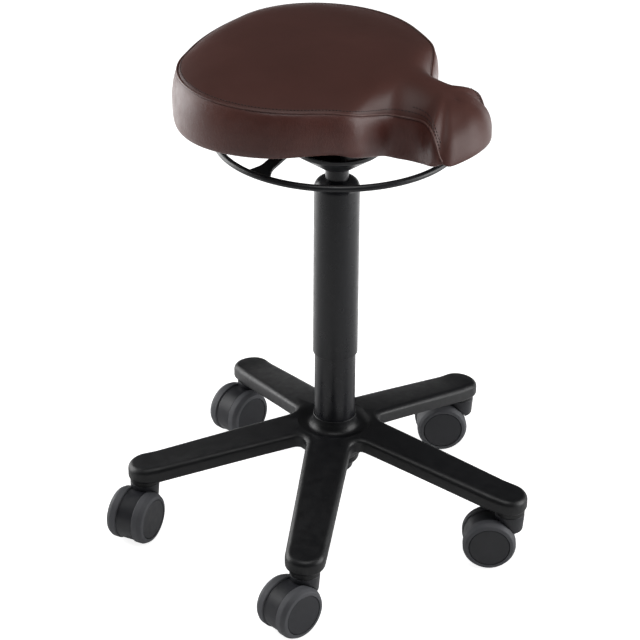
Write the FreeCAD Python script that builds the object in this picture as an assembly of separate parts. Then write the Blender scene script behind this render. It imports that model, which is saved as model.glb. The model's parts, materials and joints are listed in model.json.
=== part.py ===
import FreeCAD, Part
import math
import os
from FreeCAD import Vector

# Saddle stool: five-arm base on twin-wheel castors, gas lift with a telescoping cover,
# ring lever under the seat, and a leather saddle cushion whose front rolls down to a hem.
# Millimetres. Origin on the column axis at the floor, +Z up, seat nose towards -Y.

# Five-arm base
arm_count = 5
arm_reach = 258.0            # column axis to arm tip
arm_root_width = 55.0
arm_tip_width = 47.0
arm_tip_top = 94.0           # top of the arm at its tip
arm_tip_bottom = 75.0
arm_top_slope = 7.5          # degrees, falling outwards
arm_bottom_slope = 4.4
arm_top_round = 8.0
arm_bottom_round = 4.0
arm_fork_round = 14.0        # concave corner between two arms
arm_wall = 5.0
arm_rib = 3.5
rib_bays = 3
hub_collar_top = 146.0
hub_collar_lip = 1.6
hub_blend = 22.0             # concave blend from the collar to the arms
hub_boss_radius = 31.0
hub_boss_bottom = 82.0
pocket_start = 50.0          # where the ribbed pockets under an arm begin

# Castors
castor_radius = 238.0        # column axis to swivel axis
castor_trail = 24.0
castor_headings = [114.5, 120.7, 163.4, 179.9, 159.2]   # way each one trails, degrees
wheel_radius = 32.5
wheel_gap = 21.6             # between the inner faces of the two wheels
wheel_width = 14.4
tread_thickness = 5.0
tread_inner_edge = 1.2
tread_shoulder = 5.8         # width of the sloping shoulder
tread_shoulder_drop = 3.0
tread_shoulder_round = 4.0
tread_edge_round = 2.4
tread_disc_gap = 0.5
disc_radius = 24.8
disc_recess = 0.5
disc_thickness = 2.4
disc_edge = 0.6
rim_thickness = 2.4
rim_setback = 0.6            # rim's inner edge behind the wheel's inner face
wheel_web = 1.5
wheel_hub_radius = 6.5
axle_radius = 3.0
hood_radius = 31.0
hood_thickness = 2.6
hood_side_gap = 0.6          # hood edge to wheel
hood_end_height = 9.0        # hood's lower edge above the floor
web_thickness = 4.0
housing_hub_radius = 7.5
neck_radius = 18.0
neck_top = 69.8
neck_bottom = 46.0
neck_wheel_gap = 1.0
neck_step = 1.0
neck_step_height = 4.5
socket_boss_radius = 18.0
socket_boss_bottom = 70.3
stem_radius = 5.0
stem_top = 90.0
stem_bottom = 47.0
stem_chamfer = 1.2
stem_flange_radius = 9.0
stem_flange_thickness = 2.1
socket_radius = 5.8
socket_top = 90.5
grip_ring_height = 12.0
grip_ring_slot = 2.0
grip_clearance = 0.1

# Fits shared by several pieces
running_gap = 0.05           # radial, between pieces that turn or slide on each other
seat_gap = 0.03              # radial, between pieces pressed together
face_gap = 0.4               # between faces of different bodies

# Gas lift
tube_radius = 25.0
tube_wall = 2.0
tube_top = 368.0
tube_bottom = 70.0
tube_foot_round = 3.5
tube_floor = 3.0
foot_taper_height = 62.0
foot_taper = 0.025           # radius lost for each mm of height
rod_radius = 5.0
rod_end = 62.0
rod_end_radius = 4.0
race_radius = 12.0
race_thickness = 2.0
cage_thickness = 3.0
buffer_height = 11.0
buffer_radius = 11.0
washer_thickness = 1.1
clip_thickness = 1.4
clip_groove = 0.8            # depth of the clip's groove in the rod
clip_radius = 9.0
cylinder_radius = 14.0
cylinder_wall = 2.0
cylinder_bottom = 184.0
cylinder_top = 522.0
head_taper_height = 40.0
head_taper = 0.025
rod_guide_height = 18.0
piston_height = 12.0
piston_gap = 2.0             # piston to rod guide when fully raised
cylinder_plug_height = 17.0
pin_radius = 4.0
pin_top = 528.6
pin_length = 15.0
pin_head_height = 2.5
bush_length = 80.0
bush_lip = 3.0

# Column cover
cover_radius = 27.3
cover_wall = 1.8
cover_bottom = 233.5
cover_top = 465.0
cover_shoulder = 12.0
cover_edge = 0.6

# Seat mechanism
socket_bottom = 479.0
socket_wall = 3.4
cone_foot_radius = 20.0
cone_rim_radius = 54.0
cone_foot_height = 481.0
cone_rim_height = 504.5
cone_wall = 3.0
cone_rim_lip = 4.0
leg_count = 3
leg_radius = 45.0
leg_width = 16.0
leg_depth = 11.0
plate_bottom = 541.0
plate_thickness = 4.0
plate_length = 144.0
plate_width = 130.0
plate_corner = 18.0
fulcrum_radius = 25.0
fulcrum_width = 3.0

# Ring lever
ring_radius = 141.7
ring_rod_radius = 3.9
ring_height = 517.0
lever_arm_count = 3
lever_arm_phase = 167.0
lever_arm_width = 16.0
lever_arm_flare = 34.0
lever_arm_flare_length = 16.0
lever_arm_thickness = 3.0
lever_disc_radius = 36.0
lever_bend_radius = 92.0
lever_play = 0.3             # lever to release pin

# Saddle seat, in its own plan: u forward to the nose, v across
seat_rear = -173.5
seat_rear_corner_at = -146.0
seat_half_width = 168.3
seat_side_turn_at = -3.0
seat_front_at = 71.0
seat_front_half_width = 112.0
waist_at = 102.0
waist_half_width = 26.6
nose_corner_at = 166.0
nose_corner_half_width = 76.0
nose_tip_at = 192.5
rear_round = 300.0
rear_corner_round = 115.0
side_round = 126.0
front_round = 47.0
waist_round = 30.0
nose_corner_round = 14.0
nose_round = 90.0
leather_thickness = 2.0
foam_gap = 0.3
board_inset = 16.0           # board's edge inside the cushion's outline
board_thickness = 9.0
board_lift = 3.0             # board's underside above the hem
board_pad_margin = 9.0       # flat pad round the seat plate
lining_inset = 5.0
lining_lift = 1.2            # lining above the hem
lining_thickness = 1.2
seat_screw_radius = 3.0
seat_screw_spread = 52.0
seat_screw_offset = 58.0
screw_head_radius = 5.5
screw_head_height = 3.0
tee_nut_radius = 4.2
tee_flange_radius = 9.0
tee_flange_thickness = 1.2

os.makedirs("parts", exist_ok=True)
UP = Vector(0, 0, 1)
CENTRE = Vector(0, 0, 0)


def rounded_loop(corners, plane="xy", level=0.0):
    """Closed wire through corners (a, b, radius), each corner rounded by a tangent arc."""
    def place(a, b):
        if plane == "xy":
            return Vector(a, b, level)
        if plane == "xz":
            return Vector(a, level, b)
        return Vector(level, a, b)

    starts = []
    arcs = []
    total = len(corners)
    for i in range(total):
        a, b, radius = corners[i]
        before = corners[i - 1]
        after = corners[(i + 1) % total]
        to_before = Vector(before[0] - a, before[1] - b, 0).normalize()
        to_after = Vector(after[0] - a, after[1] - b, 0).normalize()
        if radius <= 0:
            starts.append(((a, b), (a, b)))
            arcs.append(None)
            continue
        half = to_before.getAngle(to_after) / 2
        run = radius / math.tan(half)
        way = (to_before + to_after).normalize()
        depth = radius / math.sin(half) - radius
        first = (a + to_before.x * run, b + to_before.y * run)
        last = (a + to_after.x * run, b + to_after.y * run)
        starts.append((first, last))
        arcs.append((a + way.x * depth, b + way.y * depth))
    edges = []
    for i in range(total):
        first, last = starts[i]
        if arcs[i] is not None:
            edges.append(Part.Arc(place(*first), place(*arcs[i]), place(*last)).toShape())
        onward = starts[(i + 1) % total][0]
        if math.hypot(onward[0] - last[0], onward[1] - last[1]) > 1e-4:
            edges.append(Part.makeLine(place(*last), place(*onward)))
    return Part.Wire(edges)


def turned(corners, x=0.0, y=0.0, start=0.0, sweep=360.0):
    """Solid of revolution about a vertical axis from (radius, height, corner radius)."""
    face = Part.Face(rounded_loop(corners, "xz"))
    solid = face.revolve(CENTRE, UP, sweep)
    solid.rotate(CENTRE, UP, start)
    solid.translate(Vector(x, y, 0))
    return solid


def disc(radius, bottom, top, x=0.0, y=0.0):
    """Upright cylinder between two heights."""
    return Part.makeCylinder(radius, top - bottom, Vector(x, y, bottom), UP)


def ring(outer, inner, bottom, top, x=0.0, y=0.0):
    """Upright ring between two heights."""
    return disc(outer, bottom, top, x, y).cut(disc(inner, bottom - 1, top + 1, x, y))


def prism(wire, bottom, top):
    """Upright prism on a wire drawn at height zero."""
    solid = Part.Face(wire).extrude(Vector(0, 0, top - bottom))
    solid.translate(Vector(0, 0, bottom))
    return solid


def polar(radius, degrees, height=0.0):
    """Point at a radius and azimuth from the column axis."""
    angle = math.radians(degrees)
    return Vector(radius * math.cos(angle), radius * math.sin(angle), height)


def spun(shape, degrees):
    """Copy of a shape turned about the column axis."""
    copy = shape.copy()
    copy.rotate(CENTRE, UP, degrees)
    return copy


def save(name, shape):
    """Write one node."""
    shape.exportStep("parts/" + name + ".step")


def arm_azimuth(index):
    """Azimuth of an arm; the first one lies under the nose."""
    return -90.0 + index * 360.0 / arm_count


def arm_top(radius):
    """Height of the arm's top face at a radius."""
    return arm_tip_top + (arm_reach - radius) * math.tan(math.radians(arm_top_slope))


def arm_bottom(radius):
    """Height of the arm's underside at a radius."""
    return arm_tip_bottom + (arm_reach - radius) * math.tan(math.radians(arm_bottom_slope))


# The five-arm base
fork_angle = 180.0 / arm_count
fork_radius = arm_root_width / 2 / math.sin(math.radians(fork_angle))
fork_x = fork_radius * math.cos(math.radians(fork_angle))
tube_foot_radius = tube_radius - foot_taper * foot_taper_height
hub_bore_top_radius = tube_radius + seat_gap


def arm_half_width(radius):
    """Half the arm's width at a radius."""
    share = (radius - fork_x) / (arm_reach - fork_x)
    return (arm_root_width + (arm_tip_width - arm_root_width) * share) / 2


def star_outline():
    """Plan of the base: five tapering arms with round tips and filleted forks."""
    corners = []
    tip_round = arm_tip_width / 2 - 0.6
    for i in range(arm_count):
        azimuth = arm_azimuth(i)
        fork = polar(fork_radius, azimuth - fork_angle)
        corners.append((fork.x, fork.y, arm_fork_round))
        for side in (-1, 1):
            tip = Vector(arm_reach, side * arm_tip_width / 2, 0)
            tip = FreeCAD.Rotation(UP, azimuth).multVec(tip)
            corners.append((tip.x, tip.y, tip_round))
    return rounded_loop(corners)


def base_body():
    """Slab between the sloping top and bottom faces of the arms."""
    blend_x = tube_radius + hub_collar_lip + hub_blend
    blend_z = arm_top(blend_x) + hub_blend / math.cos(math.radians(arm_top_slope))
    far = arm_reach + 40
    corners = [
        (1.0, arm_bottom(1.0), 0),
        (far, arm_bottom(far), 0),
        (far, arm_top(far), 0),
        (tube_radius + hub_collar_lip, arm_top(tube_radius + hub_collar_lip), hub_blend),
        (tube_radius + hub_collar_lip, hub_collar_top, 0.8),
        (1.0, hub_collar_top, 0),
    ]
    slab = turned(corners, start=arm_azimuth(0) - fork_angle)
    star = prism(star_outline(), hub_boss_bottom - 30, hub_collar_top + 10)
    return star.common(slab), blend_z


def perimeter_edges(shape, height_of):
    """Edges that follow the rim of the arms' top or bottom face."""
    found = []
    for edge in shape.Edges:
        first, last = edge.ParameterRange
        points = [edge.valueAt(first + (last - first) * k / 4) for k in range(5)]
        on_face = all(abs(p.z - height_of(math.hypot(p.x, p.y))) < 0.02 for p in points)
        beyond = min(math.hypot(p.x, p.y) for p in points) > fork_radius
        spread = max(math.hypot(p.x, p.y) for p in points)
        if on_face and beyond and spread < arm_reach + 5:
            found.append(edge)
    return found


def arm_pockets():
    """Hollows that leave ribs under one arm, pointing along +X."""
    end = castor_radius - socket_boss_radius - 2
    bay = (end - pocket_start - arm_rib * (rib_bays - 1)) / rib_bays
    hollows = []
    for row in range(rib_bays):
        near = pocket_start + row * (bay + arm_rib)
        far = near + bay
        for side in (-1, 1):
            corners = [
                (near, side * arm_rib / 2, 0),
                (far, side * arm_rib / 2, 0),
                (far, side * (arm_half_width(far) - arm_wall), 0),
                (near, side * (arm_half_width(near) - arm_wall), 0),
            ]
            loop = rounded_loop(corners)
            hollow = prism(loop, hub_boss_bottom - 40, arm_top(near) + 5)
            hollows.append(hollow)
    under_top = turned([
        (pocket_start - 5, 20, 0),
        (end + 5, 20, 0),
        (end + 5, arm_top(end + 5) - arm_wall, 0),
        (pocket_start - 5, arm_top(pocket_start - 5) - arm_wall, 0),
    ], start=90)
    return [hollow.common(under_top) for hollow in hollows]


def five_star_base():
    """One casting: hub with a tapered bore, five ribbed arms and castor sockets."""
    body, blend_z = base_body()
    body = body.makeFillet(arm_top_round, perimeter_edges(body, arm_top))
    body = body.makeFillet(arm_bottom_round, perimeter_edges(body, arm_bottom))
    cutters = []
    bosses = [disc(hub_boss_radius, hub_boss_bottom, hub_boss_bottom + 25)]
    for i in range(arm_count):
        for hollow in arm_pockets():
            cutters.append(spun(hollow, arm_azimuth(i)))
    body = body.cut(Part.makeCompound(cutters))
    for i in range(arm_count):
        seat = polar(castor_radius, arm_azimuth(i))
        boss = disc(socket_boss_radius, socket_boss_bottom, arm_tip_bottom + 8, seat.x, seat.y)
        bosses.append(boss)
    bosses[0] = bosses[0].makeFillet(5.0, [bosses[0].Edges[2]])
    body = body.fuse(bosses).removeSplitter()
    bore = turned([
        (0, tube_bottom - 20, 0),
        (bore_radius(tube_bottom - 20), tube_bottom - 20, 0),
        (bore_radius(tube_bottom + foot_taper_height), tube_bottom + foot_taper_height, 0),
        (hub_bore_top_radius, hub_collar_top + 10, 0),
        (0, hub_collar_top + 10, 0),
    ])
    sockets = []
    for i in range(arm_count):
        seat = polar(castor_radius, arm_azimuth(i))
        sockets.append(disc(socket_radius, socket_boss_bottom - 5, socket_top, seat.x, seat.y))
    body = body.cut(bore)
    return body.cut(Part.makeCompound(sockets))


def bore_radius(height):
    """Radius of the hub's tapered bore at a height."""
    below = tube_bottom + foot_taper_height - height
    return tube_radius + seat_gap - max(0.0, below) * foot_taper


# Castors, built about a swivel axis at the origin and trailing towards +X
wheel_inner = wheel_gap / 2
wheel_outer = wheel_inner + wheel_width
rim_radius = wheel_radius - tread_thickness


def wheel_turned(corners):
    """Solid of revolution about the wheel's axle, from (radius, offset, corner radius)."""
    solid = turned(corners)
    solid.rotate(CENTRE, Vector(1, 0, 0), -90)
    solid.translate(Vector(castor_trail, 0, wheel_radius))
    return solid


def wheel_core():
    """Moulded wheel with its cover disc, rim and hub."""
    face = wheel_outer - disc_recess
    return wheel_turned([
        (axle_radius + running_gap, wheel_inner, 0),
        (wheel_hub_radius, wheel_inner, 0),
        (wheel_hub_radius, face - disc_thickness - wheel_web, 0),
        (rim_radius - rim_thickness, face - disc_thickness - wheel_web, 0),
        (rim_radius - rim_thickness, wheel_inner + rim_setback, 0),
        (rim_radius, wheel_inner + rim_setback, 0),
        (rim_radius, face - disc_thickness, 0),
        (disc_radius, face - disc_thickness, 0),
        (disc_radius, face - disc_edge, 0),
        (disc_radius - disc_edge, face, 0),
        (0, face, 0),
        (0, face - disc_thickness, 0),
        (axle_radius + running_gap, face - disc_thickness, 0),
    ])


def wheel_tread():
    """Soft tyre moulded on the rim, with a deep rounded shoulder."""
    lip = disc_radius + tread_disc_gap
    return wheel_turned([
        (rim_radius + seat_gap, wheel_inner + rim_setback, 0),
        (wheel_radius - tread_inner_edge, wheel_inner, 0),
        (wheel_radius, wheel_inner + tread_inner_edge, 0),
        (wheel_radius, wheel_outer - tread_shoulder, tread_shoulder_round),
        (wheel_radius - tread_shoulder_drop, wheel_outer - disc_edge, tread_edge_round),
        (lip, wheel_outer, 0),
        (lip, wheel_outer - disc_recess - disc_thickness + seat_gap, 0),
        (rim_radius + seat_gap, wheel_outer - disc_recess - disc_thickness + seat_gap, 0),
    ])


def across(radius, half_width, x, z):
    """Cylinder lying along the axle direction."""
    start = Vector(x, -half_width, z)
    return Part.makeCylinder(radius, 2 * half_width, start, Vector(0, 1, 0))


def castor_housing():
    """Hood over and behind the wheels, centre web, axle hub and swivel neck."""
    half = wheel_inner - hood_side_gap
    drop = (hood_end_height - wheel_radius) / hood_radius
    end = math.degrees(math.asin(drop))
    outer = across(hood_radius, half, castor_trail, wheel_radius)
    inner = across(hood_radius - hood_thickness, half + 1, castor_trail, wheel_radius)
    hood = outer.cut(inner)
    reach = 2 * hood_radius
    behind = Part.makePolygon([
        Vector(castor_trail, 0, wheel_radius),
        Vector(castor_trail + reach * math.cos(math.radians(end)), 0,
               wheel_radius + reach * math.sin(math.radians(end))),
        Vector(castor_trail + reach, 0, wheel_radius + reach),
        Vector(castor_trail - reach, 0, wheel_radius + reach),
        Vector(castor_trail - reach * math.cos(math.radians(35)), 0,
               wheel_radius + reach * math.sin(math.radians(35))),
        Vector(castor_trail, 0, wheel_radius),
    ])
    sector = Part.Face(behind).extrude(Vector(0, 2 * half + 4, 0))
    sector.translate(Vector(0, -half - 2, 0))
    hood = hood.common(sector)
    web = across(hood_radius - 1.0, web_thickness / 2, castor_trail, wheel_radius)
    web_low = Part.makeBox(4 * hood_radius, 40, hood_end_height + 3,
                           Vector(castor_trail - 2 * hood_radius, -20, -1))
    web = web.cut(web_low)
    hub = across(housing_hub_radius, wheel_inner - face_gap, castor_trail, wheel_radius)
    neck = turned([
        (0, neck_bottom, 0),
        (neck_radius - 1.5, neck_bottom, 3.0),
        (neck_radius, neck_top - neck_step_height, 0),
        (neck_radius, neck_top, 0.8),
        (0, neck_top, 0),
    ])
    over_wheels = across(wheel_radius + neck_wheel_gap, 60, castor_trail, wheel_radius)
    between = Part.makeBox(200, 2 * half, 200, Vector(-100, -half, -50))
    neck = neck.cut(over_wheels.cut(between))
    inside = across(hood_radius - hood_thickness, half + 1, castor_trail, wheel_radius)
    inside_web = Part.makeBox(200, 16, 200, Vector(-100, -8, -50))
    neck = neck.cut(inside.cut(inside_web))
    body = hood.fuse([web, hub, neck]).removeSplitter()
    bore = across(axle_radius + seat_gap, 60, castor_trail, wheel_radius)
    flange = disc(stem_flange_radius + face_gap, neck_top - stem_flange_thickness, neck_top + 5)
    stem_hole = disc(stem_radius + running_gap, stem_bottom - face_gap, neck_top + 5)
    return body.cut(Part.makeCompound([bore, flange.fuse(stem_hole)]))


def castor_axle():
    """Steel axle pressed through the housing's hub."""
    return across(axle_radius, wheel_outer - disc_recess - disc_thickness - face_gap,
                  castor_trail, wheel_radius)


def castor_stem():
    """Steel stem: pin in the arm, flange under the boss, pivot in the neck."""
    flange_top = socket_boss_bottom
    return turned([
        (0, stem_bottom, 0),
        (stem_radius, stem_bottom, 0),
        (stem_radius, neck_top - stem_flange_thickness + face_gap, 0),
        (stem_flange_radius, neck_top - stem_flange_thickness + face_gap, 0),
        (stem_flange_radius, flange_top, 0),
        (stem_radius, flange_top, 0),
        (stem_radius, stem_top - stem_chamfer, 0),
        (stem_radius - stem_chamfer, stem_top, 0),
        (0, stem_top, 0),
    ])


def grip_ring():
    """Split sleeve that holds the stem in its socket."""
    bottom = socket_boss_bottom + 1
    sleeve = ring(socket_radius - seat_gap, stem_radius + seat_gap, bottom, bottom + grip_ring_height)
    slot = Part.makeBox(2 * socket_radius, grip_ring_slot, grip_ring_height + 2,
                        Vector(0, -grip_ring_slot / 2, bottom - 1))
    return sleeve.cut(slot)


def place_castor(shape, index):
    """Move a castor piece to its arm and turn it to its heading."""
    seat = polar(castor_radius, arm_azimuth(index))
    copy = shape.copy()
    copy.rotate(CENTRE, UP, castor_headings[index])
    copy.translate(seat)
    return copy


# Gas lift, from the foot up
def stand_tube():
    """Outer tube: tapered foot with a spun-in floor, open top."""
    top_of_taper = tube_bottom + foot_taper_height
    return turned([
        (rod_end_radius + running_gap * 2, tube_bottom, 0),
        (tube_foot_radius, tube_bottom, tube_foot_round),
        (tube_radius, top_of_taper, 0),
        (tube_radius, tube_top, 0.5),
        (tube_radius - tube_wall, tube_top, 0),
        (tube_radius - tube_wall, top_of_taper, 0),
        (tube_foot_radius - tube_wall, tube_bottom + tube_floor, 1.5),
        (rod_end_radius + running_gap * 2, tube_bottom + tube_floor, 0),
    ])


race_bottom = tube_bottom + tube_floor
clip_top = tube_bottom - face_gap - washer_thickness
bearing_top = race_bottom + 2 * race_thickness + cage_thickness


def thrust_bearing():
    """Lower race, cage and upper race under the rod's shoulder."""
    hole = rod_end_radius + 2 * running_gap
    lower = ring(race_radius, hole, race_bottom, race_bottom + race_thickness)
    cage = ring(race_radius - 1.5, hole + 1.5, race_bottom + race_thickness,
                race_bottom + race_thickness + cage_thickness)
    return Part.makeCompound([lower, cage])


def upper_race():
    """Race that turns with the rod."""
    return ring(race_radius, rod_end_radius + seat_gap, bearing_top - race_thickness, bearing_top)


def piston_rod():
    """Rod from the clip under the tube up to the piston."""
    top = cylinder_bottom + rod_guide_height + piston_gap
    return turned([
        (0, rod_end, 0),
        (rod_end_radius, rod_end, 0.8),
        (rod_end_radius, clip_top - clip_thickness - seat_gap, 0),
        (rod_end_radius - clip_groove, clip_top - clip_thickness - seat_gap, 0),
        (rod_end_radius - clip_groove, clip_top, 0),
        (rod_end_radius, clip_top, 0),
        (rod_end_radius, bearing_top, 0),
        (rod_radius, bearing_top, 0),
        (rod_radius, top, 0),
        (rod_end_radius - 1, top, 0),
        (rod_end_radius - 1, top + piston_height, 0),
        (0, top + piston_height, 0),
    ])


def piston():
    """Piston with a seal groove, on the rod's end."""
    bottom = cylinder_bottom + rod_guide_height + piston_gap
    radius = cylinder_radius - cylinder_wall - running_gap
    return turned([
        (rod_end_radius - 1 + seat_gap, bottom, 0),
        (radius, bottom, 0),
        (radius, bottom + piston_height / 3, 0),
        (radius - 1.5, bottom + piston_height / 3, 0),
        (radius - 1.5, bottom + piston_height * 2 / 3, 0),
        (radius, bottom + piston_height * 2 / 3, 0),
        (radius, bottom + piston_height, 0),
        (rod_end_radius - 1 + seat_gap, bottom + piston_height, 0),
    ])


def rod_buffer():
    """Rubber stop round the rod above the bearing."""
    return ring(buffer_radius, rod_radius + seat_gap, bearing_top, bearing_top + buffer_height)


def retaining_clip():
    """Washer and spring clip under the tube's floor."""
    top = tube_bottom - face_gap
    groove = rod_end_radius - clip_groove
    washer = ring(clip_radius, rod_end_radius + seat_gap, top - washer_thickness, top)
    clip = ring(clip_radius - 2, groove + seat_gap, clip_top - clip_thickness, clip_top)
    mouth = Part.makeBox(clip_radius, 2 * groove, 2 * clip_thickness,
                         Vector(0, -groove, clip_top - 1.5 * clip_thickness))
    return washer, clip.cut(mouth)


def guide_bush():
    """Long plastic bush that guides the cylinder in the tube's mouth."""
    return turned([
        (cylinder_radius + running_gap, tube_top - bush_length, 0),
        (tube_radius - tube_wall - seat_gap, tube_top - bush_length, 1.0),
        (tube_radius - tube_wall - seat_gap, tube_top, 0),
        (tube_radius - 0.3, tube_top, 0),
        (tube_radius - 0.3, tube_top + bush_lip, 1.5),
        (cylinder_radius + running_gap, tube_top + bush_lip, 0),
    ])


def head_radius(height):
    """Outer radius of the cylinder's tapered head."""
    above = max(0.0, height - (cylinder_top - head_taper_height))
    return cylinder_radius - above * head_taper


def lift_cylinder():
    """Gas cylinder, closed and tapered at the top, open at the bottom for its rod guide."""
    neck = cylinder_top - head_taper_height
    bore = cylinder_radius - cylinder_wall
    return turned([
        (bore, cylinder_bottom, 0),
        (cylinder_radius, cylinder_bottom, 0.8),
        (cylinder_radius, neck, 0),
        (head_radius(cylinder_top), cylinder_top, 0.8),
        (pin_radius + running_gap, cylinder_top, 0),
        (pin_radius + running_gap, cylinder_top - cylinder_plug_height, 0),
        (bore - 1.5, cylinder_top - cylinder_plug_height, 0),
        (bore, neck, 0),
    ])


def rod_guide():
    """Seal and guide block in the cylinder's lower end."""
    return ring(cylinder_radius - cylinder_wall - seat_gap, rod_radius + running_gap,
                cylinder_bottom, cylinder_bottom + rod_guide_height)


def release_pin():
    """Valve pin with a mushroom head."""
    return turned([
        (0, pin_top - pin_length, 0),
        (pin_radius, pin_top - pin_length, 0.8),
        (pin_radius, pin_top - pin_head_height, 0),
        (pin_radius, pin_top, 1.2),
        (0, pin_top, 0),
    ])


def column_cover():
    """Telescoping cover with a rounded shoulder, gripping the cylinder's neck."""
    return turned([
        (cover_radius - cover_wall, cover_bottom, 0),
        (cover_radius, cover_bottom, cover_edge),
        (cover_radius, cover_top, cover_shoulder),
        (cylinder_radius + seat_gap, cover_top, 0.8),
        (cylinder_radius + seat_gap, cover_top - cover_wall - 1.2, 0),
        (cover_radius - cover_wall, cover_top - cover_wall - 1.2, cover_shoulder - cover_wall),
    ])


# Seat mechanism
def mechanism_housing():
    """Casting: tapered socket, open funnel and three legs up to the seat plate."""
    top = cylinder_top - 2
    bore = [
        (0, socket_bottom - 5, 0),
        (head_radius(0) + seat_gap, socket_bottom - 5, 0),
        (head_radius(cylinder_top - head_taper_height) + seat_gap, cylinder_top - head_taper_height, 0),
        (head_radius(top + 6) + seat_gap, top + 6, 0),
        (0, top + 6, 0),
    ]
    socket = disc(cylinder_radius + socket_wall, socket_bottom + 1, top)
    funnel = turned([
        (cylinder_radius - 3, socket_bottom, 0),
        (cylinder_radius + 1.6, socket_bottom, 0.8),
        (cone_foot_radius, cone_foot_height, 2.0),
        (cone_rim_radius, cone_rim_height, 3.0),
        (cone_rim_radius, cone_rim_height + cone_rim_lip, 0),
        (cone_rim_radius - cone_wall, cone_rim_height + cone_rim_lip, 0),
        (cone_rim_radius - cone_wall, cone_rim_height + 0.8, 2.0),
        (cone_foot_radius, cone_foot_height + cone_wall + 1.4, 0),
        (cylinder_radius - 3, cone_foot_height + cone_wall + 1.4, 0),
    ])
    pieces = [socket]
    for i in range(leg_count):
        azimuth = lever_arm_phase + (i + 0.5) * 360.0 / leg_count
        leg = Part.makeBox(leg_depth, leg_width, plate_bottom - cone_rim_height,
                           Vector(leg_radius - leg_depth / 2, -leg_width / 2, cone_rim_height))
        upright = [edge for edge in leg.Edges if edge.tangentAt(0).z ** 2 > 0.9]
        leg = leg.makeFillet(3.0, upright)
        foot = Part.makeBox(leg_radius + leg_depth / 2 - cylinder_radius, 6, cone_rim_height - cone_foot_height,
                            Vector(cylinder_radius, -3, cone_foot_height + 3))
        inside = turned([
            (0, cone_foot_height - 2, 0),
            (cone_foot_radius, cone_foot_height + 1, 0),
            (cone_rim_radius - 1, cone_rim_height + 1, 0),
            (0, cone_rim_height + 1, 0),
        ])
        pieces.append(spun(leg, azimuth))
        pieces.append(spun(foot.common(inside), azimuth))
    body = funnel.fuse(pieces).removeSplitter()
    return body.cut(turned(bore))


def seat_plate():
    """Steel plate with the round ridge that the lever rocks on."""
    corners = []
    for sx, sy in ((-1, -1), (1, -1), (1, 1), (-1, 1)):
        corners.append((sx * plate_width / 2, sy * plate_length / 2, plate_corner))
    plate = prism(rounded_loop(corners), plate_bottom, plate_bottom + plate_thickness)
    lever_top = pin_top + lever_play + lever_arm_thickness
    ridge = ring(fulcrum_radius + fulcrum_width / 2, fulcrum_radius - fulcrum_width / 2,
                 lever_top + lever_play, plate_bottom + plate_thickness / 2)
    holes = [disc(seat_screw_radius + 0.4, plate_bottom - 10, plate_bottom + 20, x, y)
             for x, y in screw_places()]
    return plate.fuse(ridge).removeSplitter().cut(Part.makeCompound(holes))


def screw_places():
    """The four seat screws."""
    return [(sx * seat_screw_spread, sy * seat_screw_offset) for sx in (-1, 1) for sy in (-1, 1)]


def seat_screws():
    """Four screws up through the plate into the board."""
    screws = []
    for x, y in screw_places():
        head_bottom = plate_bottom - screw_head_height
        head = disc(screw_head_radius, head_bottom, plate_bottom, x, y)
        socket = prism(rounded_loop([(2.2 * math.cos(math.radians(60 * k)) + x,
                                      2.2 * math.sin(math.radians(60 * k)) + y, 0)
                                     for k in range(6)]), head_bottom - 1, head_bottom + 1.8)
        shank = disc(seat_screw_radius, plate_bottom - 0.5, board_pad_top, x, y)
        screws.append(head.fuse(shank).removeSplitter().cut(socket))
    return Part.makeCompound(screws)


def tee_nuts():
    """Four tee nuts let into the top of the board."""
    nuts = []
    top = board_pad_top
    for x, y in screw_places():
        barrel = ring(tee_nut_radius, seat_screw_radius + seat_gap, plate_bottom + plate_thickness + 1, top, x, y)
        flange = ring(tee_flange_radius, seat_screw_radius + seat_gap, top, top + tee_flange_thickness, x, y)
        nuts.append(barrel.fuse(flange).removeSplitter())
    return Part.makeCompound(nuts)


def ring_lever():
    """Round release ring with three flat arms welded to a centre disc."""
    hoop = Part.makeTorus(ring_radius, ring_rod_radius, Vector(0, 0, ring_height), UP)
    disc_bottom = pin_top + lever_play
    plate = disc(lever_disc_radius, disc_bottom, disc_bottom + lever_arm_thickness)
    pieces = [plate]
    thick = lever_arm_thickness
    mid = disc_bottom + thick / 2
    inner = lever_disc_radius - 6
    side_profile = [
        (inner, mid - thick / 2, 0),
        (lever_bend_radius, mid - thick / 2, 18.0),
        (ring_radius - 1, ring_height - thick / 2, 0),
        (ring_radius - 1, ring_height + thick / 2, 0),
        (lever_bend_radius, mid + thick / 2, 18.0),
        (inner, mid + thick / 2, 0),
    ]
    strip = Part.Face(rounded_loop(side_profile, "xz", -lever_arm_flare))
    strip = strip.extrude(Vector(0, 2 * lever_arm_flare, 0))
    half = lever_arm_width / 2
    flare_start = ring_radius - lever_arm_flare_length
    plan = rounded_loop([
        (inner, -half - 3, 0),
        (lever_bend_radius - 30, -half, 40.0),
        (flare_start, -half, 16.0),
        (ring_radius - 1, -lever_arm_flare / 2, 0),
        (ring_radius - 1, lever_arm_flare / 2, 0),
        (flare_start, half, 16.0),
        (lever_bend_radius - 30, half, 40.0),
        (inner, half + 3, 0),
    ])
    arm = strip.common(prism(plan, ring_height - 30, disc_bottom + 30))
    for i in range(lever_arm_count):
        pieces.append(spun(arm, lever_arm_phase + i * 360.0 / lever_arm_count))
    return hoop.fuse(pieces).removeSplitter()


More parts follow.
